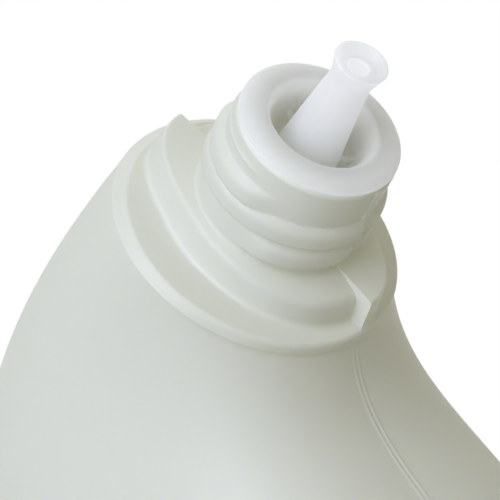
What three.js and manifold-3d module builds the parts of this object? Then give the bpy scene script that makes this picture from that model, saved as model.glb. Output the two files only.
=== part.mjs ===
// A one litre cleaner bottle in blown HDPE with a leaning screw neck, a collar with two
// ratchet ramps for a child-resistant cap, and a pressed-in LDPE spout insert.
// Millimetres, +Z up, the base centred on the origin. The neck leans towards +X.
import * as THREE from "three";
import { mergeVertices } from "three/addons/utils/BufferGeometryUtils.js";
import Module from "manifold-3d";

const wasm = await Module();
wasm.setup();

// Body: a rounded oval section, straight up to the shoulder.
const BODY_HALF_WIDTH = 54;
const BODY_HALF_DEPTH = 34.5;
const BODY_SQUARENESS = 2.75;
const BODY_WALL = 1.2;
const HEEL_RADIUS = 9;
const FOOT_WIDTH = 4;
const PUSH_UP = 5;

// Neck axis: where the rim's centre is, and how far the neck leans.
const RIM_HEIGHT = 225;
const RIM_OFFSET = 3.4;
const NECK_LEAN = THREE.MathUtils.degToRad(28.3);

// Shoulder: how far below the rim it starts, and the handles of its two side curves.
const SHOULDER_DROP = 100;
const SIDE_HANDLE = 41;
const LOW_SIDE_HANDLE = 26;
const HIGH_SIDE_RISE = THREE.MathUtils.degToRad(55.3);
const SHOULDER_WAIST = 1.5;

// Neck finish, depths measured along the neck's axis from the spout's flange.
const NECK_RADIUS = 12.6;
const NECK_WALL = 2.6;
const RIM_ROUND = 0.4;
const NECK_FILLET = 1.4;
const SEAT_GAP = 0.3;
const PLUG_CLEARANCE = 0.3;

// Collar under the neck. Its lower edge stands out by the flare on the high side of the lean,
// and over the shoulder by the undercut on the low side.
const COLLAR_RADIUS = 21.8;
const COLLAR_TOP = 22.4;
const COLLAR_THICKNESS = 2.1;
const COLLAR_ROUND = 0.5;
const COLLAR_FLARE = 1.4;
const COLLAR_UNDERCUT = 0.6;

// Right-handed single-start thread.
const THREAD_CREST = 13.8;
const THREAD_PITCH = 4.4;
const THREAD_TURNS = 2.06;
const THREAD_START_DEPTH = 14.1;
const THREAD_START_ANGLE = THREE.MathUtils.degToRad(-85);
const THREAD_ROOT_WIDTH = 3.9;
const THREAD_CREST_WIDTH = 2;
const THREAD_FADE = 0.07;
const THREAD_RELIEF = THREE.MathUtils.degToRad(18);

// Ratchet ramps: each rises through half a turn and ends in a steep tooth on the parting line.
// Radii are at the foot: wide at the low end, drawn in half way, widest at the tooth.
const RAMP_COUNT = 2;
const RAMP_LOW_RADIUS = 18.9;
const RAMP_WAIST_RADIUS = 14.9;
const RAMP_TOOTH_RADIUS = 21.2;
const RAMP_NECK_RISE = 5.8;
const RAMP_LOW_RISE = 4.1;
const RAMP_TOOTH_RISE = 5.2;
const RAMP_LOW_ROUND = 1;
const RAMP_TOOTH_ROUND = 0.5;
const RAMP_DRAFT = 0.6;

// Spout insert, heights measured up from the flange's lower edge.
const FLANGE_THICKNESS = 2;
const FLANGE_ROUND = 0.7;
const CUP_MOUTH_RADIUS = 8.1;
const CUP_LIP = 0.5;
const CUP_DEPTH = 6;
const CUP_TAPER = 0.5;
const CUP_FLOOR = 1.2;
const CUP_FILLET = 1;
const PLUG_LENGTH = 11;
const PLUG_LEAD = 0.8;
const PLUG_WALL = 1.2;
const NOZZLE_FOOT_RADIUS = 4.7;
const NOZZLE_WAIST_RADIUS = 3.1;
const NOZZLE_WAIST_HEIGHT = 12;
const NOZZLE_MOUTH_RADIUS = 4.15;
const NOZZLE_HEIGHT = 15.1;
const NOZZLE_LIP = 0.2;
const NOZZLE_STEP_RADIUS = 2.75;
const NOZZLE_STEP_DEPTH = 1.2;
const NOZZLE_BORE = 1.75;
const RIB_COUNT = 3;
const RIB_THICKNESS = 0.6;
const RIB_TOP = 4.2;
const RIB_ANGLE = THREE.MathUtils.degToRad(41);
const RIB_OVERLAP = 0.5;

// Facets.
const AROUND = 48;
const SHOULDER_STEPS = 12;
const ARC_STEPS = 4;
const BASE_RINGS = 3;
const THREAD_STEPS_PER_TURN = 40;
const RAMP_STEPS = 24;

const BORE_RADIUS = NECK_RADIUS - NECK_WALL;
const COLLAR_BOTTOM = COLLAR_TOP + COLLAR_THICKNESS;
const LOW_END_RADIUS = COLLAR_RADIUS - COLLAR_UNDERCUT;
const HIGH_END_RADIUS = COLLAR_RADIUS + COLLAR_FLARE;
const END_HALF_DEPTH = (LOW_END_RADIUS + HIGH_END_RADIUS) / 2;
const NECK_FOOT = COLLAR_TOP - NECK_FILLET;

const neckMatrix = new THREE.Matrix4().makeRotationY(NECK_LEAN);
neckMatrix.setPosition(RIM_OFFSET, 0, RIM_HEIGHT);
const neckTurn = new THREE.Quaternion().setFromRotationMatrix(neckMatrix);

// A point given by its radius, angle and height about the neck's axis.
function neckPoint(radius, angle, height) {
  const flat = new THREE.Vector3(radius * Math.cos(angle), radius * Math.sin(angle), height);
  return flat.applyMatrix4(neckMatrix);
}

// A ring about the neck's axis, or moved off it by a shift towards the high side.
function neckRing(radius, height, shift = 0) {
  const towardsHigh = new THREE.Vector3(-shift, 0, 0).applyQuaternion(neckTurn);
  return ringOf((angle) => neckPoint(radius, angle, height).add(towardsHigh));
}

function ringOf(pointAt) {
  return Array.from({ length: AROUND }, (_, i) => pointAt((2 * Math.PI * i) / AROUND));
}

// An oval ring: a superellipse on two half axes, the second one along Y.
function ovalRing(centre, halfAxis, halfDepth, squareness) {
  const power = 2 / squareness;
  const bend = (value) => Math.sign(value) * Math.abs(value) ** power;
  return ringOf((angle) =>
    centre
      .clone()
      .addScaledVector(halfAxis, bend(Math.cos(angle)))
      .add(new THREE.Vector3(0, halfDepth * bend(Math.sin(angle)), 0)),
  );
}

function bodyRing(inset, height) {
  const axis = new THREE.Vector3(BODY_HALF_WIDTH - inset, 0, 0);
  return ovalRing(new THREE.Vector3(0, 0, height), axis, BODY_HALF_DEPTH - inset, BODY_SQUARENESS);
}

// The base's push-up: the standing ring's inner edge shrinks to the middle as it rises.
function pushUpRings(lift) {
  const edge = HEEL_RADIUS + FOOT_WIDTH;
  return Array.from({ length: BASE_RINGS }, (_, i) => {
    const share = (i + 1) / BASE_RINGS;
    const axis = new THREE.Vector3((BODY_HALF_WIDTH - edge) * share, 0, 0);
    const centre = new THREE.Vector3(0, 0, PUSH_UP * (1 - share ** 2) + lift);
    return ovalRing(centre, axis, (BODY_HALF_DEPTH - edge) * share, BODY_SQUARENESS);
  });
}

// The heel's quarter round from the standing ring to the side, moved in by the wall.
function heelRings(wall) {
  return Array.from({ length: ARC_STEPS + 1 }, (_, i) => {
    const turn = (i / ARC_STEPS) * (Math.PI / 2);
    const radius = HEEL_RADIUS - wall;
    const inset = HEEL_RADIUS - radius * Math.sin(turn);
    return bodyRing(inset, HEEL_RADIUS - radius * Math.cos(turn));
  });
}

// The shoulder's outline in the parting plane: one curve on the side that the neck leans to,
// one on the other side, and one for the half depth. Each runs from the body to the collar.
const sideTop = RIM_HEIGHT - SHOULDER_DROP;
const lowEnd = neckPoint(LOW_END_RADIUS, 0, -COLLAR_BOTTOM);
const highEnd = neckPoint(HIGH_END_RADIUS, Math.PI, -COLLAR_BOTTOM);
const highRoom = highEnd.x + BODY_HALF_WIDTH;

const lowSide = new THREE.CubicBezierCurve3(
  new THREE.Vector3(BODY_HALF_WIDTH, 0, sideTop),
  new THREE.Vector3(BODY_HALF_WIDTH, 0, sideTop + SIDE_HANDLE),
  new THREE.Vector3(lowEnd.x, 0, lowEnd.z - LOW_SIDE_HANDLE),
  lowEnd,
);

const highSide = new THREE.CubicBezierCurve3(
  new THREE.Vector3(-BODY_HALF_WIDTH, 0, sideTop),
  new THREE.Vector3(-BODY_HALF_WIDTH, 0, sideTop + SIDE_HANDLE),
  new THREE.Vector3(-BODY_HALF_WIDTH, 0, highEnd.z - highRoom * Math.tan(HIGH_SIDE_RISE)),
  highEnd,
);

const halfDepth = new THREE.CubicBezierCurve(
  new THREE.Vector2(BODY_HALF_DEPTH, 0),
  new THREE.Vector2(BODY_HALF_DEPTH, 0),
  new THREE.Vector2(END_HALF_DEPTH - SHOULDER_WAIST, 0),
  new THREE.Vector2(END_HALF_DEPTH, 0),
);

// One ring of the shoulder, t from 0 at the body to 1 at the collar, moved in by the wall.
function shoulderRing(t, wall) {
  const low = lowSide.getPoint(t);
  const high = highSide.getPoint(t);
  const centre = low.clone().add(high).multiplyScalar(0.5);
  const axis = low.clone().sub(high).multiplyScalar(0.5);
  axis.setLength(axis.length() - wall);
  const squareness = 2 + (BODY_SQUARENESS - 2) * (1 - t ** 6);
  return ovalRing(centre, axis, halfDepth.getPoint(t).x - wall, squareness);
}

function shoulderRings(wall) {
  return Array.from({ length: SHOULDER_STEPS }, (_, i) => shoulderRing((i + 1) / SHOULDER_STEPS, wall));
}

// Collar, neck and rim, from below: radius, height and shift of each ring.
function neckOuterRings() {
  const fillet = Array.from({ length: ARC_STEPS + 1 }, (_, i) => {
    const turn = (i / ARC_STEPS) * (Math.PI / 2);
    const radius = NECK_RADIUS + NECK_FILLET * (1 - Math.sin(turn));
    return [radius, -NECK_FOOT - NECK_FILLET * Math.cos(turn)];
  });
  return [
    [COLLAR_RADIUS + COLLAR_FLARE / 2, COLLAR_ROUND - COLLAR_BOTTOM, COLLAR_FLARE / 2],
    [COLLAR_RADIUS, -COLLAR_TOP - COLLAR_ROUND],
    [COLLAR_RADIUS - COLLAR_ROUND, -COLLAR_TOP],
    ...fillet,
    [NECK_RADIUS, -SEAT_GAP - RIM_ROUND],
    [NECK_RADIUS - RIM_ROUND, -SEAT_GAP],
  ].map(([radius, height, shift]) => neckRing(radius, height, shift));
}

// The bore from the rim down, opening out under the neck to the shoulder's inside.
function boreRings() {
  return [
    [BORE_RADIUS, -SEAT_GAP],
    [BORE_RADIUS, -NECK_FOOT],
    [BORE_RADIUS + NECK_FILLET, BODY_WALL / 2 - COLLAR_BOTTOM],
  ].map(([radius, height]) => neckRing(radius, height));
}

// Joins rings of equal length into one closed skin, with a middle point at each end.
function loft(first, rings, last) {
  const points = [first, ...rings.flat(), last];
  const at = (ring, i) => 1 + ring * AROUND + (i % AROUND);
  const faces = [];
  for (let i = 0; i < AROUND; i++) {
    faces.push(0, at(0, i + 1), at(0, i));
    faces.push(points.length - 1, at(rings.length - 1, i), at(rings.length - 1, i + 1));
    for (let ring = 0; ring < rings.length - 1; ring++) {
      faces.push(at(ring, i), at(ring, i + 1), at(ring + 1, i + 1));
      faces.push(at(ring, i), at(ring + 1, i + 1), at(ring + 1, i));
    }
  }
  return solidFrom(points, faces);
}

// A closed bar through a row of sections with the same number of corners.
function bar(sections) {
  const size = sections[0].length;
  const points = sections.flat();
  const end = (sections.length - 1) * size;
  const faces = [];
  for (let i = 1; i < size - 1; i++) {
    faces.push(0, i, i + 1);
    faces.push(end, end + i + 1, end + i);
  }
  for (let s = 0; s < sections.length - 1; s++) {
    for (let i = 0; i < size; i++) {
      const a = s * size + i;
      const b = s * size + ((i + 1) % size);
      faces.push(a, b + size, b);
      faces.push(a, a + size, b + size);
    }
  }
  return solidFrom(points, faces);
}

function solidFrom(points, faces) {
  const geometry = new THREE.BufferGeometry().setFromPoints(points);
  geometry.setIndex(faces);
  return toSolid(geometry);
}

function toSolid(geometry) {
  geometry.deleteAttribute("normal");
  geometry.deleteAttribute("uv");
  const merged = mergeVertices(geometry, 1e-4);
  const mesh = { numProp: 3, vertProperties: merged.attributes.position.array };
  mesh.triVerts = new Uint32Array(merged.index.array);
  return new wasm.Manifold(new wasm.Mesh(mesh));
}

function toMesh(solid, name, material) {
  const data = solid.getMesh();
  const geometry = new THREE.BufferGeometry();
  geometry.setAttribute("position", new THREE.BufferAttribute(data.vertProperties, 3));
  geometry.setIndex(new THREE.BufferAttribute(data.triVerts, 1));
  geometry.computeVertexNormals();
  const mesh = new THREE.Mesh(geometry, material);
  mesh.name = name;
  return mesh;
}

// The thread's ridge: a helix of tapered sections that fades in and out of the neck. It stops at
// each parting line, and rises out of the neck again over the relief.
function threadRidge() {
  const steps = Math.round(THREAD_TURNS * THREAD_STEPS_PER_TURN);
  const root = NECK_RADIUS - NECK_WALL / 4;
  const sections = Array.from({ length: steps + 1 }, (_, i) => {
    const turns = (THREAD_TURNS * i) / steps;
    const angle = THREAD_START_ANGLE + 2 * Math.PI * turns;
    const height = THREAD_PITCH * turns - THREAD_START_DEPTH;
    const fade = Math.min(1, turns / THREAD_FADE, (THREAD_TURNS - turns) / THREAD_FADE);
    const pastLine = THREE.MathUtils.euclideanModulo(angle, Math.PI);
    const relief = THREE.MathUtils.smoothstep(pastLine, THREAD_RELIEF / 6, THREAD_RELIEF);
    const crest = root + (THREAD_CREST - root) * Math.max(fade * relief, 0.2);
    return [
      neckPoint(root, angle, height - THREAD_ROOT_WIDTH / 2),
      neckPoint(crest, angle, height - THREAD_CREST_WIDTH / 2),
      neckPoint(crest, angle, height + THREAD_CREST_WIDTH / 2),
      neckPoint(root, angle, height + THREAD_ROOT_WIDTH / 2),
    ];
  });
  return bar(sections);
}

// A ramp's section, s from 0 at its low end to 1 at the tooth. The foot follows a cosine: a gentle
// one from the low end to the waist, and its square from there to the tooth.
function rampSection(s, angle) {
  const wave = Math.cos(Math.PI * s) ** 2;
  const foot =
    s < 0.5
      ? THREE.MathUtils.lerp(RAMP_WAIST_RADIUS, RAMP_LOW_RADIUS, wave)
      : THREE.MathUtils.lerp(RAMP_WAIST_RADIUS, RAMP_TOOTH_RADIUS, wave ** 2);
  const climb = THREE.MathUtils.smoothstep(s, 0.1, 0.75);
  const rise = THREE.MathUtils.lerp(RAMP_LOW_RISE, RAMP_TOOTH_RISE, climb);
  const top = foot - RAMP_DRAFT;
  const width = top - NECK_RADIUS;
  const round = Math.min(THREE.MathUtils.lerp(RAMP_LOW_ROUND, RAMP_TOOTH_ROUND, s), width / 2);
  const slope = (RAMP_NECK_RISE - rise) / width;
  const inner = NECK_RADIUS - NECK_WALL / 4;
  const base = -COLLAR_TOP - COLLAR_THICKNESS / 4;
  return [
    neckPoint(inner, angle, base),
    neckPoint(foot, angle, base),
    neckPoint(top, angle, rise - round - COLLAR_TOP),
    neckPoint(top - round, angle, rise + slope * round - COLLAR_TOP),
    neckPoint(inner, angle, RAMP_NECK_RISE - COLLAR_TOP),
  ];
}

// A ramp rises clockwise, seen from above, up to the tooth where its section ends.
function ratchetRamp(toothAngle) {
  const sweep = (2 * Math.PI) / RAMP_COUNT;
  const sections = Array.from({ length: RAMP_STEPS + 1 }, (_, i) => {
    const back = i / RAMP_STEPS;
    return rampSection(1 - back, toothAngle + sweep * back);
  });
  return bar(sections);
}

function makeBottle(material) {
  const outside = [
    ...pushUpRings(0),
    ...heelRings(0),
    bodyRing(0, sideTop),
    ...shoulderRings(0),
    ...neckOuterRings(),
  ];
  const inside = [
    ...pushUpRings(BODY_WALL),
    ...heelRings(BODY_WALL),
    bodyRing(BODY_WALL, sideTop),
    ...shoulderRings(BODY_WALL),
  ].reverse();
  const top = new THREE.Vector3(0, 0, PUSH_UP + BODY_WALL);
  let solid = loft(new THREE.Vector3(0, 0, PUSH_UP), [...outside, ...boreRings(), ...inside], top);
  solid = solid.add(threadRidge());
  for (let i = 0; i < RAMP_COUNT; i++) {
    solid = solid.add(ratchetRamp((2 * Math.PI * i) / RAMP_COUNT));
  }
  return toMesh(solid, "bottle", material);
}

// The insert's section, once around: plug, flange, cup, nozzle, bore and back underneath.
function insertProfile() {
  const plug = BORE_RADIUS - PLUG_CLEARANCE;
  const flange = NECK_RADIUS;
  const cupWall = CUP_MOUTH_RADIUS - CUP_TAPER;
  const nozzleMid = THREE.MathUtils.lerp(NOZZLE_FOOT_RADIUS, NOZZLE_WAIST_RADIUS, 0.55);
  const points = [
    [plug - PLUG_LEAD / 2, -PLUG_LENGTH],
    [plug, PLUG_LEAD - PLUG_LENGTH],
    [plug, 0],
    [flange, 0],
    [flange - FLANGE_ROUND / 4, FLANGE_THICKNESS - FLANGE_ROUND],
    [flange - FLANGE_ROUND, FLANGE_THICKNESS],
    [CUP_MOUTH_RADIUS + CUP_LIP, FLANGE_THICKNESS],
    [CUP_MOUTH_RADIUS, FLANGE_THICKNESS - CUP_LIP],
    [cupWall, CUP_FILLET - CUP_DEPTH],
    [cupWall - CUP_FILLET, -CUP_DEPTH],
    [NOZZLE_FOOT_RADIUS, -CUP_DEPTH],
    [nozzleMid, (NOZZLE_WAIST_HEIGHT - CUP_DEPTH) / 2],
    [NOZZLE_WAIST_RADIUS, NOZZLE_WAIST_HEIGHT],
    [NOZZLE_MOUTH_RADIUS, NOZZLE_HEIGHT - NOZZLE_LIP],
    [NOZZLE_MOUTH_RADIUS - NOZZLE_LIP, NOZZLE_HEIGHT],
    [NOZZLE_STEP_RADIUS, NOZZLE_HEIGHT - NOZZLE_STEP_DEPTH],
    [NOZZLE_BORE, NOZZLE_HEIGHT - NOZZLE_STEP_DEPTH],
    [NOZZLE_BORE, -CUP_DEPTH - CUP_FLOOR],
    [plug - PLUG_WALL, -CUP_DEPTH - CUP_FLOOR],
    [plug - PLUG_WALL - PLUG_LEAD / 2, -PLUG_LENGTH],
  ];
  points.push(points[0]);
  return points.map(([radius, height]) => new THREE.Vector2(radius, height));
}

// A thin upright rib across the cup, from the nozzle's wall into the cup's wall.
function cupRib(angle) {
  const inner = NOZZLE_FOOT_RADIUS - RIB_OVERLAP;
  const outer = CUP_MOUTH_RADIUS + RIB_OVERLAP;
  const height = CUP_DEPTH - RIB_TOP + CUP_FLOOR / 2;
  const geometry = new THREE.BoxGeometry(outer - inner, RIB_THICKNESS, height);
  geometry.translate((inner + outer) / 2, 0, height / 2 - CUP_DEPTH - CUP_FLOOR / 2);
  geometry.rotateZ(angle);
  return toSolid(geometry);
}

function makeSpoutInsert(material) {
  const turned = new THREE.LatheGeometry(insertProfile(), AROUND);
  turned.rotateX(Math.PI / 2);
  let solid = toSolid(turned);
  for (let i = 0; i < RIB_COUNT; i++) {
    solid = solid.add(cupRib(RIB_ANGLE + (2 * Math.PI * i) / RIB_COUNT));
  }
  return toMesh(solid, "spout_insert", material);
}

const hdpe = new THREE.MeshStandardMaterial({ color: 0xe6ead9, roughness: 0.42, metalness: 0 });
const ldpe = new THREE.MeshStandardMaterial({ color: 0xe9eef0, roughness: 0.35, metalness: 0 });

const neck = new THREE.Group();
neck.applyMatrix4(neckMatrix);
neck.add(makeSpoutInsert(ldpe));

const bottle = new THREE.Group();
bottle.add(makeBottle(hdpe), neck);

export default bottle;
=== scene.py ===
"""The looks of a one litre cleaner bottle: blown HDPE with a leaning screw neck, and an LDPE spout."""

import math

import bpy
import numpy as np
from mathutils import Matrix, Vector


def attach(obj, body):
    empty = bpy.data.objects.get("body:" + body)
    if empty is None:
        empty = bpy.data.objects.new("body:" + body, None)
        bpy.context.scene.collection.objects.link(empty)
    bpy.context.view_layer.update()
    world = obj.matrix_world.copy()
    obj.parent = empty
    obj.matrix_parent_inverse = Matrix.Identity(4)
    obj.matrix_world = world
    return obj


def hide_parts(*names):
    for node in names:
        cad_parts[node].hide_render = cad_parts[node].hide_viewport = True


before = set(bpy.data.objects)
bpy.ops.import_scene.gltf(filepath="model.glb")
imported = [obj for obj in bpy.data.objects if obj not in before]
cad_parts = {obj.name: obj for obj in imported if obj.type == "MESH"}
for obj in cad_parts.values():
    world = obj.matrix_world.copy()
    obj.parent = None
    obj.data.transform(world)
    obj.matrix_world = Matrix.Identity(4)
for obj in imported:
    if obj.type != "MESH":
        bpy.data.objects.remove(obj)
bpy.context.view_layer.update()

MM = 0.001
TINY = 1e-12

# Body, in millimetres.
BODY_HALF_WIDTH = 54.0
BODY_HALF_DEPTH = 34.5
BODY_SQUARENESS = 2.75
BODY_WALL = 1.2
HEEL_RADIUS = 9.0
FOOT_WIDTH = 4.0
PUSH_UP = 5.0

# Neck axis and shoulder, in millimetres. The handles are those of the outlines' Bezier curves.
RIM = np.array([3.4, 0.0, 225.0])
NECK_LEAN = math.radians(28.3)
LOW_DIRECTION = np.array([math.cos(NECK_LEAN), 0.0, -math.sin(NECK_LEAN)])
DEPTH_DIRECTION = np.array([0.0, 1.0, 0.0])
NECK_DIRECTION = np.array([math.sin(NECK_LEAN), 0.0, math.cos(NECK_LEAN)])
SHOULDER_DROP = 100.0
SIDE_HANDLE = 41.0
LOW_SIDE_HANDLE = 26.0
HIGH_SIDE_RISE = math.radians(55.3)
SHOULDER_WAIST = 1.5
SHOULDER_OVAL_POWER = 6
SHOULDER_CROWDING = 1.5
SIDE_TOP = RIM[2] - SHOULDER_DROP

# Neck finish, in millimetres, heights along the neck's axis from the flange's lower edge.
NECK_RADIUS = 12.6
BORE_RADIUS = 10.0
RIM_TOP = -0.3
COLLAR_RADIUS = 21.8
COLLAR_TOP = -22.4
COLLAR_BOTTOM = -24.5
COLLAR_ROUND = 0.5
COLLAR_FLARE = 1.4
COLLAR_UNDERCUT = 0.6
RIM_ROUND = 0.4
BORE_CHAMFER = 0.3
BORE_RING_HEIGHTS = (-4.0, -10.0, -16.0, -21.0)
BORE_FLARE = 1.4
OUTER_WALL_SLACK = 0.05

# The fillet under the collar takes the place of the shoulder's last rings.
FILLET_RINGS = 7
FILLET_LOST_ON_LOW_SIDE = 0.8

# Thread: its last stretch drops between two angles before its end, in radians, and it comes up
# from the ramps' top between the two heights of its foot.
THREAD_HEIGHT = 1.2
THREAD_WIDTH = 4.2
THREAD_PITCH = 4.4
THREAD_TURNS = 2.06
THREAD_START = -14.1
THREAD_START_ANGLE = math.radians(-85)
THREAD_FADE = math.radians(28)
THREAD_END_DROP = 1.2
THREAD_DROP_BEFORE_END = (2.0, 1.2)
THREAD_UPPER_FLANK_POWER = 2.6
THREAD_LOWER_FLANK_POWER = 6
THREAD_RELIEF = (math.radians(3), math.radians(18))
THREAD_FOOT = (-16.4, -15.6)

# Fine bead between the thread and the rim: its span and fades are angles round the neck.
BEAD_MIDDLE = -2.8
BEAD_HALF_WIDTH = 0.45
BEAD_HEIGHT = 0.25
BEAD_SPAN = (math.radians(183), math.radians(282))
BEAD_FADE_IN = 0.2
BEAD_FADE_OUT = 0.5

# Ratchet ramps, radii at the foot. They climb between two shares of their half turn.
RAMP_LOW_RADIUS = 18.9
RAMP_WAIST_RADIUS = 14.9
RAMP_TOOTH_RADIUS = 21.2
RAMP_NECK_RISE = 5.8
RAMP_LOW_RISE = 4.1
RAMP_TOOTH_RISE = 5.2
RAMP_CLIMB = (0.1, 0.75)
RAMP_LOW_ROUND = 1.2
RAMP_TOOTH_ROUND = 0.5
RAMP_DRAFT = 0.6

# Parting line: two fine ridges, where the edges of the mould's insert met.
SEAM_OFFSET = 0.45
SEAM_HALF_WIDTH = 0.3
SEAM_HEIGHT = 0.07
SEAM_BED_HALF_WIDTH = 4.0

# Flash on the neck's parting lines: its waves are in radians for each millimetre of height.
FLASH_HEIGHT = 0.42
FLASH_HALF_WIDTH = (0.1, 0.45)
FLASH_MEAN_SHARE = 0.65
FLASH_WAVE_SHARE = 0.35
FLASH_WAVES = (2.9, 1.3)
FLASH_WAVE_START = 0.7

# Angles of the mesh's columns, in degrees: close ones beside each parting line, even ones between.
CLOSE_COLUMNS = [0.15, 0.3, 0.45, 0.6, 0.75, 0.9, 1.1, 1.4, 1.8, 2.4]
EVEN_COLUMNS_FROM = 3.0
EVEN_COLUMNS = 138


def make_columns():
    """Angles round the neck's axis: even steps, with closer ones by the two parting lines."""
    close = np.array(CLOSE_COLUMNS)
    even = np.linspace(EVEN_COLUMNS_FROM, 180.0 - EVEN_COLUMNS_FROM, EVEN_COLUMNS)
    half = np.concatenate([[0.0], close, even, 180.0 - close[::-1]])
    return np.radians(np.concatenate([half, half + 180.0]))


ANGLES = make_columns()


def smooth_step(value, low, high):
    """0 below low, 1 above high, and the cubic 3x^2 - 2x^3 between."""
    x = np.clip((value - low) / (high - low), 0.0, 1.0)
    return x * x * (3.0 - 2.0 * x)


def bezier(points, t):
    """A cubic Bezier curve through the first and last of four points, for an array of t."""
    a, b, c, d = [np.asarray(p, float) for p in points]
    t = t[:, None]
    return a * (1 - t) ** 3 + 3 * b * t * (1 - t) ** 2 + 3 * c * t * t * (1 - t) + d * t**3


def around_neck(radius, height):
    """Points at a radius and height about the leaning neck's axis, one column per angle."""
    radius = radius * np.ones_like(ANGLES)
    height = height * np.ones_like(ANGLES)
    across = np.cos(ANGLES)[:, None] * LOW_DIRECTION + np.sin(ANGLES)[:, None] * DEPTH_DIRECTION
    return RIM + radius[..., None] * across + height[..., None] * NECK_DIRECTION


def oval_rings(centres, axes, half_depths, squareness):
    """Superellipse rings: |x/a|^n + |y/b|^n = 1, taken at each polar angle, a along the axis."""
    a = np.linalg.norm(axes, axis=1)[:, None]
    b = half_depths[:, None]
    n = squareness[:, None]
    cos, sin = np.cos(ANGLES)[None], np.sin(ANGLES)[None]
    radius = (np.abs(cos / a) ** n + np.abs(sin / b) ** n) ** (-1.0 / n)
    along = (radius * cos)[..., None] * (axes / a)[:, None, :]
    aside = (radius * sin)[..., None] * DEPTH_DIRECTION
    return centres[:, None, :] + along + aside


def body_rings(insets, heights):
    """Level rings of the body's oval, moved in by the insets."""
    insets, heights = np.asarray(insets, float), np.asarray(heights, float)
    zero = np.zeros_like(insets)
    centres = np.stack([zero, zero, heights], -1)
    axes = np.stack([BODY_HALF_WIDTH - insets, zero, zero], -1)
    squareness = np.full_like(insets, BODY_SQUARENESS)
    return oval_rings(centres, axes, BODY_HALF_DEPTH - insets, squareness)


def push_up_rings(wall, count):
    """The base's dome: rings that shrink to the middle as share s, at a height of 1 - s^2."""
    share = np.arange(1, count + 1) / count
    edge = HEEL_RADIUS + FOOT_WIDTH
    zero = np.zeros_like(share)
    centres = np.stack([zero, zero, PUSH_UP * (1 - share**2) + wall], -1)
    axes = np.stack([(BODY_HALF_WIDTH - edge) * share, zero, zero], -1)
    squareness = np.full_like(share, BODY_SQUARENESS)
    return oval_rings(centres, axes, (BODY_HALF_DEPTH - edge) * share, squareness)


def heel_rings(wall, count):
    """A quarter circle from the standing ring to the side."""
    turn = np.linspace(0, math.pi / 2, count)
    radius = HEEL_RADIUS - wall
    return body_rings(HEEL_RADIUS - radius * np.sin(turn), HEEL_RADIUS - radius * np.cos(turn))


def shoulder_rings(wall, count):
    """Ovals between two Bezier outlines in the parting plane, round at the collar.

    With t from 0 at the side's top to 1 at the collar, the oval's power goes from the body's to 2
    by t^6, so that it stays square for long. Ring k of n lies at t = 1 - (1 - k/n)^1.5, so that
    the rings crowd towards the collar.
    """
    t = 1 - (1 - np.arange(1, count + 1) / count) ** SHOULDER_CROWDING
    low_radius = COLLAR_RADIUS - COLLAR_UNDERCUT
    high_radius = COLLAR_RADIUS + COLLAR_FLARE
    end_depth = (low_radius + high_radius) / 2
    collar_centre = RIM + COLLAR_BOTTOM * NECK_DIRECTION
    low_end = collar_centre + low_radius * LOW_DIRECTION
    high_end = collar_centre - high_radius * LOW_DIRECTION
    room = high_end[0] + BODY_HALF_WIDTH
    high_knee = high_end[2] - room * math.tan(HIGH_SIDE_RISE)
    width = BODY_HALF_WIDTH
    low = bezier([
        (width, 0, SIDE_TOP),
        (width, 0, SIDE_TOP + SIDE_HANDLE),
        low_end - np.array([0, 0, LOW_SIDE_HANDLE]),
        low_end,
    ], t)
    high = bezier([
        (-width, 0, SIDE_TOP),
        (-width, 0, SIDE_TOP + SIDE_HANDLE),
        (-width, 0, high_knee),
        high_end,
    ], t)
    depth = bezier([
        [BODY_HALF_DEPTH],
        [BODY_HALF_DEPTH],
        [end_depth - SHOULDER_WAIST],
        [end_depth],
    ], t)[:, 0]
    axes = (low - high) / 2
    length = np.linalg.norm(axes, axis=1)[:, None]
    squareness = 2 + (BODY_SQUARENESS - 2) * (1 - t**SHOULDER_OVAL_POWER)
    return oval_rings((low + high) / 2, axes * (1 - wall / length), depth - wall, squareness)


LONGEST_CUT_SHARE = 0.45


def rounded_path(corners, cuts, straights, bend):
    """A path through corner points whose inner corners are quadratic curves.

    corners is a list of (radius, height) per angle, cuts how far before and after each inner
    corner its curve starts and ends, straights how many rows each straight stretch has, and bend
    how many rows each curve has. A cut takes at most a set share of the stretch beside it.
    """
    points = np.array([[r * np.ones_like(ANGLES), z * np.ones_like(ANGLES)] for r, z in corners])
    rows = []
    start = points[0]
    for k in range(1, len(points)):
        end = points[k]
        last = k == len(points) - 1
        if not last:
            back, ahead = points[k - 1] - points[k], points[k + 1] - points[k]
            back_length, ahead_length = np.hypot(*back), np.hypot(*ahead)
            room = LONGEST_CUT_SHARE * np.minimum(back_length, ahead_length)
            cut = np.minimum(cuts[k - 1], room)
            end = points[k] + back * cut / np.maximum(back_length, TINY)
            after = points[k] + ahead * cut / np.maximum(ahead_length, TINY)
        u = np.linspace(0, 1, straights[k - 1], endpoint=False)[:, None, None]
        rows.append(start + (end - start) * u)
        if not last:
            u = np.linspace(0, 1, bend, endpoint=False)[:, None, None]
            rows.append(end * (1 - u) ** 2 + 2 * points[k] * u * (1 - u) + after * u * u)
            start = after
    rows.append(points[-1][None])
    return np.concatenate(rows)


def ramp_share():
    """0 at a ramp's low end to 1 at its tooth, which stands on the parting line."""
    turned = np.mod(-ANGLES, math.pi) / math.pi
    return np.where(np.isclose(turned, 0) | np.isclose(turned, 1), 1.0, turned)


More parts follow.
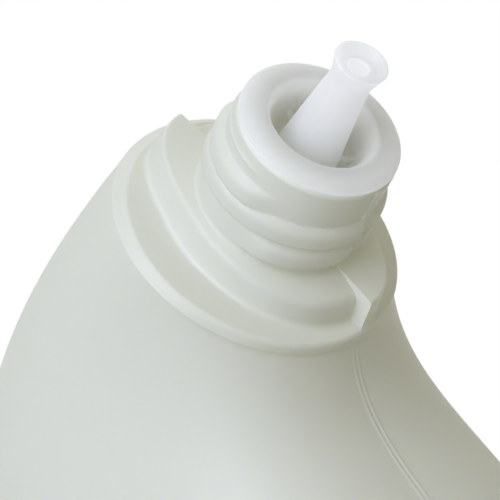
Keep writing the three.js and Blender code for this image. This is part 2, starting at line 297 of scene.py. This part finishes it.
def ramp_outline():
    """Foot radius, top radius, height and edge round of the ramps at each angle.

    The foot's radius follows a squared cosine from the low end to the waist half way, and its
    square from there to the tooth.
    """
    share = ramp_share()
    wave = np.cos(math.pi * share) ** 2
    low = RAMP_WAIST_RADIUS + (RAMP_LOW_RADIUS - RAMP_WAIST_RADIUS) * wave
    high = RAMP_WAIST_RADIUS + (RAMP_TOOTH_RADIUS - RAMP_WAIST_RADIUS) * wave**2
    foot = np.where(share < 0.5, low, high)
    rise = RAMP_LOW_RISE + (RAMP_TOOTH_RISE - RAMP_LOW_RISE) * smooth_step(share, *RAMP_CLIMB)
    edge = RAMP_LOW_ROUND + (RAMP_TOOTH_ROUND - RAMP_LOW_ROUND) * share
    return foot, foot - RAMP_DRAFT, COLLAR_TOP + rise, edge


def thread_height(heights):
    """How far the thread stands out: a ridge along a helix that fades at its two ends.

    Its section is 1 - x^n, x being 1 at the foot. The power n is small on the upper flank, which
    is rounded, and large on the lower one, which the cap pulls on and which is steep.
    """
    out = np.zeros_like(heights)
    length = 2 * math.pi * THREAD_TURNS
    drop_from, drop_to = [length - before for before in THREAD_DROP_BEFORE_END]
    for turn in range(-1, math.ceil(THREAD_TURNS) + 1):
        run = ANGLES + 2 * math.pi * turn - THREAD_START_ANGLE
        middle = THREAD_START + THREAD_PITCH * run / (2 * math.pi)
        middle = middle - THREAD_END_DROP * smooth_step(run, drop_from, drop_to)
        fade = smooth_step(run, 0, THREAD_FADE) * smooth_step(length - run, 0, THREAD_FADE)
        away = np.abs(2 * (heights - middle) / THREAD_WIDTH)
        lower = away**THREAD_LOWER_FLANK_POWER
        upper = away**THREAD_UPPER_FLANK_POWER
        ridge = np.clip(1 - np.where(heights < middle, lower, upper), 0, None)
        out = np.maximum(out, THREAD_HEIGHT * fade * ridge)
    past_line = np.mod(ANGLES, math.pi)
    return out * smooth_step(past_line, *THREAD_RELIEF)


def bead_height(heights):
    """A fine bead round part of the neck, just under the spout's flange."""
    turned = np.mod(ANGLES, 2 * math.pi)
    start, end = BEAD_SPAN
    fade = smooth_step(turned, start, start + BEAD_FADE_IN) * smooth_step(end - turned, 0, BEAD_FADE_OUT)
    away = np.abs(heights - BEAD_MIDDLE) / BEAD_HALF_WIDTH
    return BEAD_HEIGHT * fade * np.clip(1 - away**2, 0, None)


def flash_height(heights):
    """A thin uneven fin along both parting lines, where the two halves of the mould met."""
    across = np.abs(NECK_RADIUS * np.sin(ANGLES))
    waves = np.sin(heights * FLASH_WAVES[0]) * np.cos(heights * FLASH_WAVES[1] + FLASH_WAVE_START)
    uneven = FLASH_MEAN_SHARE + FLASH_WAVE_SHARE * waves
    return FLASH_HEIGHT * uneven * (1 - smooth_step(across, *FLASH_HALF_WIDTH))


def collar_edge():
    """The collar's outer radius: it flares towards the high side, where it melts into the body."""
    return COLLAR_RADIUS + COLLAR_FLARE * (1 - np.cos(ANGLES)) / 2


def collar_fillet(shoulder, count):
    """Rings on quadratic curves from the shoulder to the collar's edge, round the collar's foot.

    The curve starts at the shoulder's last ring on the high side and close by the foot on the low
    side, where the collar stands over a crisp undercut.
    """
    low_side = (1 + np.cos(ANGLES)) / 2
    foot = around_neck(collar_edge() - COLLAR_UNDERCUT * low_side**2, COLLAR_BOTTOM)
    edge = around_neck(collar_edge(), COLLAR_BOTTOM + COLLAR_ROUND / 2)
    start = foot + (shoulder - foot) * (1 - FILLET_LOST_ON_LOW_SIDE * low_side**2)[:, None]
    u = np.linspace(0, 1, count, endpoint=False)[:, None, None]
    return start * (1 - u) ** 2 + 2 * foot * u * (1 - u) + edge * u * u


def neck_rings():
    """Collar, ratchet ramps, neck and thread: one profile for each angle about the neck.

    There is one cut for each inner corner, and one row count for each stretch between corners.
    """
    ramp_foot, ramp_top, ramp_height, ramp_round = ramp_outline()
    corners = [
        (collar_edge(), COLLAR_BOTTOM + COLLAR_ROUND / 2),
        (collar_edge(), COLLAR_BOTTOM + COLLAR_ROUND),
        (COLLAR_RADIUS, COLLAR_TOP - COLLAR_ROUND),
        (COLLAR_RADIUS - COLLAR_ROUND, COLLAR_TOP),
        (ramp_foot, COLLAR_TOP),
        (ramp_top, ramp_height),
        (NECK_RADIUS, COLLAR_TOP + RAMP_NECK_RISE),
        (NECK_RADIUS, RIM_TOP - RIM_ROUND),
        (NECK_RADIUS - RIM_ROUND, RIM_TOP),
        (BORE_RADIUS + BORE_CHAMFER, RIM_TOP),
        (BORE_RADIUS, RIM_TOP - BORE_CHAMFER),
    ]
    cuts = [0.4, 0.5, 0.4, 0.8, ramp_round, 0.5, 0.3, 0.3, 0.3]
    straights = [1, 2, 1, 3, 4, 5, 78, 2, 2, 1]
    path = rounded_path(corners, cuts, straights, bend=7)
    radii, heights = path[:, 0], path[:, 1]
    outer_wall = radii > NECK_RADIUS - OUTER_WALL_SLACK
    on_neck = smooth_step(heights, *THREAD_FOOT) * outer_wall
    raised = np.maximum(thread_height(heights), flash_height(heights))
    radii = radii + on_neck * np.maximum(raised, bead_height(heights))
    return around_neck(radii, heights)


def inner_rings():
    """The bore and the inside of the body, from the rim down."""
    neck = np.stack([around_neck(BORE_RADIUS, height) for height in BORE_RING_HEIGHTS])
    flare = around_neck(BORE_RADIUS + BORE_FLARE, COLLAR_BOTTOM + BODY_WALL / 2)[None]
    body = np.concatenate([
        push_up_rings(BODY_WALL, count=4),
        heel_rings(BODY_WALL, count=6),
        body_rings([BODY_WALL], [SIDE_TOP]),
        shoulder_rings(BODY_WALL, count=18),
    ])
    return np.concatenate([neck, flare, body[::-1]])


def add_parting_line(grid):
    """Two fine rounded ridges, one at each side of the plane y = 0, that rise from a shallow bed.

    The bed is as deep as the ridges are high, so they don't widen the bottle.
    """
    across = np.gradient(grid, axis=1)
    along = np.gradient(grid, axis=0)
    normal = np.cross(across, along)
    normal /= np.maximum(np.linalg.norm(normal, axis=2, keepdims=True), TINY)
    aside = np.abs(grid[..., 1])
    ridge = np.clip(1 - ((aside - SEAM_OFFSET) / SEAM_HALF_WIDTH) ** 2, 0, None)
    bed = 1 - smooth_step(aside, SEAM_OFFSET + SEAM_HALF_WIDTH, SEAM_BED_HALF_WIDTH)
    return grid + normal * (SEAM_HEIGHT * (ridge - bed))[..., None]


def skin_mesh(name, grid, first, last):
    """A closed skin: rows of one grid, each row a ring, with a middle point at each end."""
    rows, columns = grid.shape[:2]
    points = np.concatenate([[first], grid.reshape(-1, 3), [last]]) * MM
    at = 1 + np.arange(rows * columns).reshape(rows, columns)
    right = np.roll(at, -1, axis=1)
    quads = np.stack([at[:-1], right[:-1], right[1:], at[1:]], -1).reshape(-1, 4)
    bottom = np.stack([np.zeros_like(at[0]), right[0], at[0]], -1)
    top = np.stack([np.full_like(at[0], rows * columns + 1), at[-1], right[-1]], -1)
    return mesh_object(name, points, quads.tolist() + bottom.tolist() + top.tolist())


SHARP_ANGLE = math.radians(38)


def mesh_object(name, points, faces):
    """A smooth mesh with crisp edges where its faces turn by more than the sharp angle."""
    mesh = bpy.data.meshes.new(name)
    mesh.from_pydata(points.tolist(), [], faces)
    mesh.shade_smooth()
    mesh.set_sharp_from_angle(angle=SHARP_ANGLE)
    mesh.update()
    piece = bpy.data.objects.new(name, mesh)
    bpy.context.scene.collection.objects.link(piece)
    return piece


def make_bottle():
    """One skin from the base's middle up the outside, over the rim and down the inside."""
    side_heights = np.linspace(HEEL_RADIUS, SIDE_TOP, 14)[1:]
    outside = add_parting_line(np.concatenate([
        push_up_rings(wall=0, count=7),
        heel_rings(wall=0, count=10),
        body_rings(np.zeros_like(side_heights), side_heights),
        shoulder_rings(wall=0, count=60)[:-FILLET_RINGS],
    ]))
    fillet = collar_fillet(outside[-1], count=9)
    grid = np.concatenate([outside, fillet, neck_rings(), inner_rings()])
    return skin_mesh("bottle_skin", grid, (0, 0, PUSH_UP), (0, 0, PUSH_UP + BODY_WALL))


# Spout insert, in millimetres, heights up from the flange's lower edge. A pair is a radius and a
# height. What lies within the nozzle's reach of the axis leans with it.
PLUG_RADIUS = 9.7
PLUG_END = -11.0
PLUG_LEAD = 0.8
PLUG_WALL = 1.2
FLANGE_RADIUS = 12.55
FLANGE_EDGE = (12.5, 0.6)
FLANGE_ROUND = (11.6, 1.4)
FLANGE_CREST = (8.7, 1.85)
CUP_MOUTH = (8.05, 1.0)
CUP_FOOT_RADIUS = 6.7
CUP_FLOOR_RADIUS = 6.1
CUP_FLOOR = -4.2
CUP_UNDERSIDE = -7.2
NOZZLE_FOOT_RADIUS = 4.75
NOZZLE_WAIST = (3.15, 11.4)
NOZZLE_MOUTH = (4.15, 15.0)
NOZZLE_MOUTH_BEVEL = (0.05, 0.25)
NOZZLE_LIP = (3.9, 15.1)
NOZZLE_STEP = (2.75, 13.9)
NOZZLE_BORE = 1.75
NOZZLE_REACH = 5.0
NOZZLE_LEAN = 0.5
NOZZLE_LEAN_SPAN = 21.0
NOZZLE_LEAN_ANGLE = math.radians(21)
RIB_COUNT = 3
RIB_HEIGHT = 0.8
RIB_ANGLE = math.radians(41)
RIB_HALF_TURN = math.radians(3.2)
RIB_SIDE = (0.6, 1.4)


def cup_floor():
    """The cup's floor: level, with narrow ribs raised across it.

    A rib's side falls between two shares of its half turn.
    """
    pitch = 2 * math.pi / RIB_COUNT
    away = np.abs(np.mod(ANGLES - RIB_ANGLE + pitch / 2, pitch) - pitch / 2)
    share = 1 - smooth_step(away / RIB_HALF_TURN, *RIB_SIDE)
    return CUP_FLOOR + RIB_HEIGHT * share


def insert_corners():
    """The insert's section as radius and height: plug, flange, cup, nozzle, bore and back."""
    floor = cup_floor()
    lead = PLUG_LEAD / 2
    return [
        (PLUG_RADIUS - lead, PLUG_END),
        (PLUG_RADIUS, PLUG_END + PLUG_LEAD),
        (PLUG_RADIUS, 0.0),
        (FLANGE_RADIUS, 0.0),
        FLANGE_EDGE,
        FLANGE_ROUND,
        FLANGE_CREST,
        CUP_MOUTH,
        (CUP_FOOT_RADIUS, floor + CUP_FOOT_RADIUS - CUP_FLOOR_RADIUS),
        (CUP_FLOOR_RADIUS, floor),
        (NOZZLE_FOOT_RADIUS, floor),
        NOZZLE_WAIST,
        (NOZZLE_MOUTH[0] - NOZZLE_MOUTH_BEVEL[0], NOZZLE_MOUTH[1] - NOZZLE_MOUTH_BEVEL[1]),
        NOZZLE_MOUTH,
        NOZZLE_LIP,
        NOZZLE_STEP,
        (NOZZLE_BORE, NOZZLE_STEP[1]),
        (NOZZLE_BORE, CUP_UNDERSIDE),
        (PLUG_RADIUS - PLUG_WALL, CUP_UNDERSIDE),
        (PLUG_RADIUS - PLUG_WALL - lead, PLUG_END),
    ]


# One cut for each inner corner above, and one row count for each stretch between corners.
INSERT_CUTS = [
    0.3, 0.15, 0.2, 0.35, 0.6, 0.5, 0.5, 0.5, 0.5,
    0.6, 1.2, 0.2, 0.1, 0.15, 0.3, 0.15, 0.3, 0.6,
]
INSERT_ROWS = [1, 4, 2, 2, 1, 6, 1, 8, 1, 4, 24, 8, 1, 1, 4, 3, 20, 6, 4]


def make_insert():
    """The section carried round the neck's axis, closed on itself.

    The nozzle leans aside by the square of its height over the cup's floor, as it stands in use.
    """
    path = rounded_path(insert_corners(), INSERT_CUTS, INSERT_ROWS, bend=6)
    radii, heights = path[:, 0], path[:, 1]
    share = np.clip((heights - CUP_FLOOR) / NOZZLE_LEAN_SPAN, 0, 1)
    lean = NOZZLE_LEAN * share**2 * (radii < NOZZLE_REACH)
    low_part, depth_part = math.cos(NOZZLE_LEAN_ANGLE), math.sin(NOZZLE_LEAN_ANGLE)
    aside = low_part * LOW_DIRECTION + depth_part * DEPTH_DIRECTION
    grid = around_neck(radii, heights) + lean[..., None] * aside
    rows, columns = grid.shape[:2]
    at = np.arange(rows * columns).reshape(rows, columns)
    below, right = np.roll(at, -1, axis=0), np.roll(at, -1, axis=1)
    corner = np.roll(below, -1, axis=1)
    faces = np.stack([at, right, corner, below], -1).reshape(-1, 4).tolist()
    return mesh_object("spout", grid.reshape(-1, 3) * MM, faces)


def linear(hex_colour):
    """An sRGB hex colour as linear RGBA."""
    values = [int(hex_colour[i:i + 2], 16) / 255 for i in (1, 3, 5)]
    return [v / 12.92 if v <= 0.04045 else ((v + 0.055) / 1.055) ** 2.4 for v in values] + [1.0]


def add_node(tree, kind, settings=None, **links):
    """Adds a node, sets its properties and sockets, and links the sockets given."""
    node = tree.nodes.new(kind)
    for key, value in (settings or {}).items():
        if hasattr(node, key):
            setattr(node, key, value)
        else:
            node.inputs[key].default_value = value
    for key, source in links.items():
        tree.links.new(source, node.inputs[key.replace("_", " ")])
    return node


def new_material(name):
    """An empty material and its node tree."""
    material = bpy.data.materials.new(name)
    material.use_nodes = True
    material.node_tree.nodes.clear()
    return material, material.node_tree


# Share of the light that the walls let through, and pattern sizes in millimetres.
HDPE_THROUGH = 0.26
LDPE_THROUGH = 0.68
BLASTED_GRAIN = 0.714
BLOWN_WAVES = 18.2
WAX_HAZE = 3.85


def noise_of(tree, size, detail, place):
    """Noise whose blobs are about as wide as the size, which is in millimetres."""
    settings = {"Scale": 1 / (size * MM), "Detail": detail}
    return add_node(tree, "ShaderNodeTexNoise", settings, Vector=place).outputs["Fac"]


def mix_through(tree, skin, hex_colour, share):
    """Lets a share of the light go through the surface, scattered, as milky plastic does."""
    through = add_node(tree, "ShaderNodeBsdfTranslucent", {"Color": linear(hex_colour)})
    mix = add_node(tree, "ShaderNodeMixShader", {"Fac": share})
    tree.links.new(skin.outputs[0], mix.inputs[1])
    tree.links.new(through.outputs[0], mix.inputs[2])
    add_node(tree, "ShaderNodeOutputMaterial", Surface=mix.outputs[0])


def blown_hdpe():
    """Blown HDPE, natural and slightly green: milky, with a satin skin and no sharp reflections.

    The air presses it on to a blasted mould, which leaves a fine grain, and it cools unevenly,
    which leaves wide, very shallow waves. The real grain is finer than the one drawn here, which
    has the size that still shows.
    """
    material, tree = new_material("blown_hdpe")
    place = add_node(tree, "ShaderNodeTexCoord").outputs["Object"]
    grain = noise_of(tree, BLASTED_GRAIN, 3.0, place)
    waves = noise_of(tree, BLOWN_WAVES, 2.0, place)
    fine = add_node(tree, "ShaderNodeBump", {
        "Strength": 0.25,
        "Distance": 0.06 * MM,
    }, Height=grain)
    bump = add_node(tree, "ShaderNodeBump", {
        "Strength": 0.35,
        "Distance": 0.6 * MM,
    }, Height=waves, Normal=fine.outputs["Normal"])
    skin = add_node(tree, "ShaderNodeBsdfPrincipled", {
        "Base Color": linear("#F8F9F3"),
        "Roughness": 0.4,
        "IOR": 1.54,
        "Subsurface Weight": 0.3,
        "Subsurface Radius": (1.0, 1.0, 0.7),
        "Subsurface Scale": 0.8 * MM,
    }, Normal=bump.outputs["Normal"])
    mix_through(tree, skin, "#FAFADA", HDPE_THROUGH)
    return material


def moulded_ldpe():
    """Injection-moulded LDPE: soft, bluish white and waxy, with thin walls that glow with light.

    The steel mould is smoother than the bottle's, so the skin shines a little more, and the
    plastic shrinks unevenly, which leaves a faint haze of dents a few millimetres wide.
    """
    material, tree = new_material("moulded_ldpe")
    place = add_node(tree, "ShaderNodeTexCoord").outputs["Object"]
    bump = add_node(tree, "ShaderNodeBump", {
        "Strength": 0.2,
        "Distance": 0.1 * MM,
    }, Height=noise_of(tree, WAX_HAZE, 2.0, place))
    skin = add_node(tree, "ShaderNodeBsdfPrincipled", {
        "Base Color": linear("#F3F3F3"),
        "Roughness": 0.34,
        "IOR": 1.51,
        "Subsurface Weight": 0.4,
        "Subsurface Radius": (1.0, 1.0, 0.95),
        "Subsurface Scale": 1.2 * MM,
    }, Normal=bump.outputs["Normal"])
    mix_through(tree, skin, "#F9F9F9", LDPE_THROUGH)
    return material


# Floor, in metres: a disc that turns to the background's white before its edge.
FLOOR_RADIUS = 0.26
FLOOR_FADE = (0.09, 0.96 * FLOOR_RADIUS)
FLOOR_SIDES = 96


def floor_material():
    """A pale matt floor that fades to the white background away from the bottle."""
    material, tree = new_material("pale_floor")
    place = add_node(tree, "ShaderNodeTexCoord").outputs["Object"]
    away = add_node(tree, "ShaderNodeVectorMath", {"operation": "LENGTH"}, Vector=place)
    fade = add_node(tree, "ShaderNodeMapRange", {
        "interpolation_type": "SMOOTHSTEP",
        "From Min": FLOOR_FADE[0],
        "From Max": FLOOR_FADE[1],
    }, Value=away.outputs["Value"])
    rays = add_node(tree, "ShaderNodeLightPath")
    seen = add_node(tree, "ShaderNodeMath", {"operation": "MULTIPLY"})
    tree.links.new(fade.outputs["Result"], seen.inputs[0])
    tree.links.new(rays.outputs["Is Camera Ray"], seen.inputs[1])
    matt = add_node(tree, "ShaderNodeBsdfDiffuse", {"Color": linear("#F8F8F6")})
    white = add_node(tree, "ShaderNodeEmission", {"Color": linear(WHITE), "Strength": 1.0})
    mix = add_node(tree, "ShaderNodeMixShader")
    tree.links.new(seen.outputs[0], mix.inputs[0])
    tree.links.new(matt.outputs[0], mix.inputs[1])
    tree.links.new(white.outputs[0], mix.inputs[2])
    add_node(tree, "ShaderNodeOutputMaterial", Surface=mix.outputs[0])
    return material


def make_floor():
    """A disc under the bottle, which is stage and no part of it."""
    turn = np.linspace(0, 2 * math.pi, FLOOR_SIDES, endpoint=False)
    points = FLOOR_RADIUS * np.stack([np.cos(turn), np.sin(turn), np.zeros_like(turn)], -1)
    floor = mesh_object("floor", points, [list(range(FLOOR_SIDES))])
    floor.data.materials.append(floor_material())


# Light: a cool window in front, a weak ceiling lamp above, a weak fill lamp behind, and a warm
# room that is lighter above than below. Lamps stand off and measure across in metres, powers are
# in watts, and all lamps look at a point under the rim.
WINDOW_AZIMUTH = math.radians(-6)
WINDOW_ELEVATION = math.radians(36)
WINDOW_POWER = 10.4
WINDOW_COLOUR = "#E1EAFF"
CEILING_AZIMUTH = math.radians(60)
CEILING_ELEVATION = math.radians(68)
CEILING_POWER = 1.5
FILL_AZIMUTH = math.radians(225)
FILL_ELEVATION = math.radians(22)
FILL_POWER = 2.0
WHITE = "#FFFFFF"
LAMP_DISTANCE = 1.1
LAMP_SIZE = 1.1
LAMP_AIM_BELOW_RIM = 0.05
ROOM_ABOVE = 0.23
ROOM_BELOW = 0.18
ROOM_CHANGE = (-0.5, 0.5)
ROOM_COLOUR = "#FFF9E9"

# Camera: azimuth and elevation are the photograph's, and the rim's middle falls on its pixel.
CAMERA_AZIMUTH = math.radians(39.6)
CAMERA_ELEVATION = math.radians(27.7)
CAMERA_DISTANCE = 0.66
FOCAL_PIXELS = 4591.0
FRAME_PIXELS = 500.0
SENSOR_MM = 36.0
RIM_PIXEL = (319.5, 130.4)


def make_world():
    """White to the camera, to reflections and through clear parts, and a soft room to the rest.

    The room's strength changes between two heights of the ray's direction.
    """
    world = bpy.data.worlds.new("studio")
    bpy.context.scene.world = world
    world.use_nodes = True
    tree = world.node_tree
    tree.nodes.clear()
    rays = add_node(tree, "ShaderNodeLightPath").outputs
    direct = add_node(tree, "ShaderNodeMath", {"operation": "MAXIMUM"})
    tree.links.new(rays["Is Camera Ray"], direct.inputs[0])
    tree.links.new(rays["Is Transmission Ray"], direct.inputs[1])
    seen = add_node(tree, "ShaderNodeMath", {"operation": "MAXIMUM"})
    tree.links.new(direct.outputs[0], seen.inputs[0])
    tree.links.new(rays["Is Glossy Ray"], seen.inputs[1])
    place = add_node(tree, "ShaderNodeTexCoord").outputs["Generated"]
    height = add_node(tree, "ShaderNodeSeparateXYZ", Vector=place).outputs["Z"]
    level = add_node(tree, "ShaderNodeMapRange", {
        "interpolation_type": "SMOOTHSTEP",
        "From Min": ROOM_CHANGE[0],
        "From Max": ROOM_CHANGE[1],
        "To Min": ROOM_BELOW,
        "To Max": ROOM_ABOVE,
    }, Value=height)
    room = add_node(tree, "ShaderNodeBackground", {"Color": linear(ROOM_COLOUR)},
                    Strength=level.outputs["Result"])
    white = add_node(tree, "ShaderNodeBackground", {"Color": linear(WHITE), "Strength": 1.0})
    mix = add_node(tree, "ShaderNodeMixShader")
    tree.links.new(seen.outputs[0], mix.inputs[0])
    tree.links.new(room.outputs[0], mix.inputs[1])
    tree.links.new(white.outputs[0], mix.inputs[2])
    add_node(tree, "ShaderNodeOutputWorld", Surface=mix.outputs[0])


def direction_from(azimuth, elevation):
    """The way towards a viewer: azimuth 0 stands at -Y, and turns to +X."""
    flat = math.cos(elevation)
    return Vector((math.sin(azimuth) * flat, -math.cos(azimuth) * flat, math.sin(elevation)))


def add_lamp(name, azimuth, elevation, power, hex_colour):
    """A soft disc lamp that looks at the neck from a direction."""
    light = bpy.data.lights.new(name, "AREA")
    light.shape = "DISK"
    light.size = LAMP_SIZE
    light.energy = power
    light.color = linear(hex_colour)[:3]
    lamp = bpy.data.objects.new(name, light)
    bpy.context.scene.collection.objects.link(lamp)
    away = direction_from(azimuth, elevation)
    aim = Vector(RIM * MM) - Vector((0, 0, LAMP_AIM_BELOW_RIM))
    lamp.location = aim + away * LAMP_DISTANCE
    lamp.rotation_euler = away.to_track_quat("Z", "Y").to_euler()


def make_camera():
    """Placed so that the rim's centre falls on its pixel, with the frame's middle as the axis."""
    back = direction_from(CAMERA_AZIMUTH, CAMERA_ELEVATION)
    right = Vector((math.cos(CAMERA_AZIMUTH), math.sin(CAMERA_AZIMUTH), 0))
    up = back.cross(right)
    per_pixel = CAMERA_DISTANCE / FOCAL_PIXELS
    across = (RIM_PIXEL[0] - FRAME_PIXELS / 2) * per_pixel
    above = (FRAME_PIXELS / 2 - RIM_PIXEL[1]) * per_pixel
    data = bpy.data.cameras.new("camera")
    data.sensor_width = SENSOR_MM
    data.lens = FOCAL_PIXELS * SENSOR_MM / FRAME_PIXELS
    data.clip_start = 0.01
    camera = bpy.data.objects.new("camera", data)
    bpy.context.scene.collection.objects.link(camera)
    turn = Matrix((right, up, back)).transposed().to_4x4()
    place = Vector(RIM * MM) - right * across - up * above + back * CAMERA_DISTANCE
    camera.matrix_world = Matrix.Translation(place) @ turn
    bpy.context.scene.camera = camera


def dress(piece, material, node):
    """Gives a piece its material, hangs it under the root body and hides the solid it stands for."""
    piece.data.materials.append(material)
    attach(piece, "root")
    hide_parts(node)


make_camera()
make_world()
add_lamp("window", WINDOW_AZIMUTH, WINDOW_ELEVATION, WINDOW_POWER, WINDOW_COLOUR)
add_lamp("ceiling", CEILING_AZIMUTH, CEILING_ELEVATION, CEILING_POWER, WHITE)
add_lamp("fill", FILL_AZIMUTH, FILL_ELEVATION, FILL_POWER, WHITE)
make_floor()
dress(make_bottle(), blown_hdpe(), "bottle")
dress(make_insert(), moulded_ldpe(), "spout_insert")

bpy.context.scene.view_settings.view_transform = "Standard"
